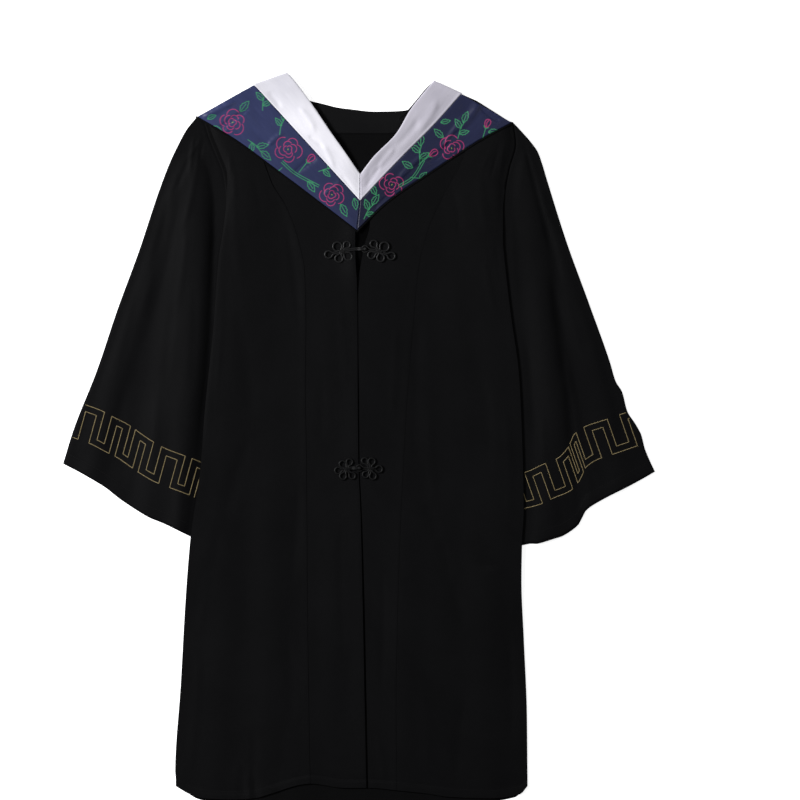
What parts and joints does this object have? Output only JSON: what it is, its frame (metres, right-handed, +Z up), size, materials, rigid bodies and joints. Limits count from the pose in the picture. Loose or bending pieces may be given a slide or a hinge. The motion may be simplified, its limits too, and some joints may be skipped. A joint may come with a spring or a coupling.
{
  "type": "graduation gown",
  "caption": "Academic gown laid flat, with wide bell sleeves, a satin V collar, princess seams and cord loop closures down an open front.",
  "frame": {"origin": "on the surface the gown lies on, under the middle of its bounding box", "axes": "+Y towards the neck, +X to the right seen from above with the neck at the top, +Z up from the surface through the front of the gown"},
  "size_m": [0.9698, 1.2, 0.0097],
  "materials": {
    "cloth": "matte black woven cloth",
    "facing": "matte black woven facing, a little lighter",
    "white_satin": "white satin with a soft sheen",
    "navy_satin": "navy satin with a flower print",
    "binding": "thin black bias binding",
    "cord": "dark grey satin cord"
  },
  "bodies": {
    "root": {"back_panel": "cloth", "back_neck_facing": "facing", "front_left_side": "cloth", "front_left_centre": "cloth", "front_right_centre": "cloth", "front_right_side": "cloth", "sleeve_left": "cloth", "sleeve_right": "cloth", "collar_white_left": "white_satin", "collar_white_right": "white_satin", "collar_navy_left": "navy_satin", "collar_navy_right": "navy_satin", "collar_binding_left": "binding", "collar_binding_right": "binding", "frog_top_left": "cord", "frog_top_right": "cord", "frog_low_left": "cord", "frog_low_right": "cord"}
  },
  "joints": []
}
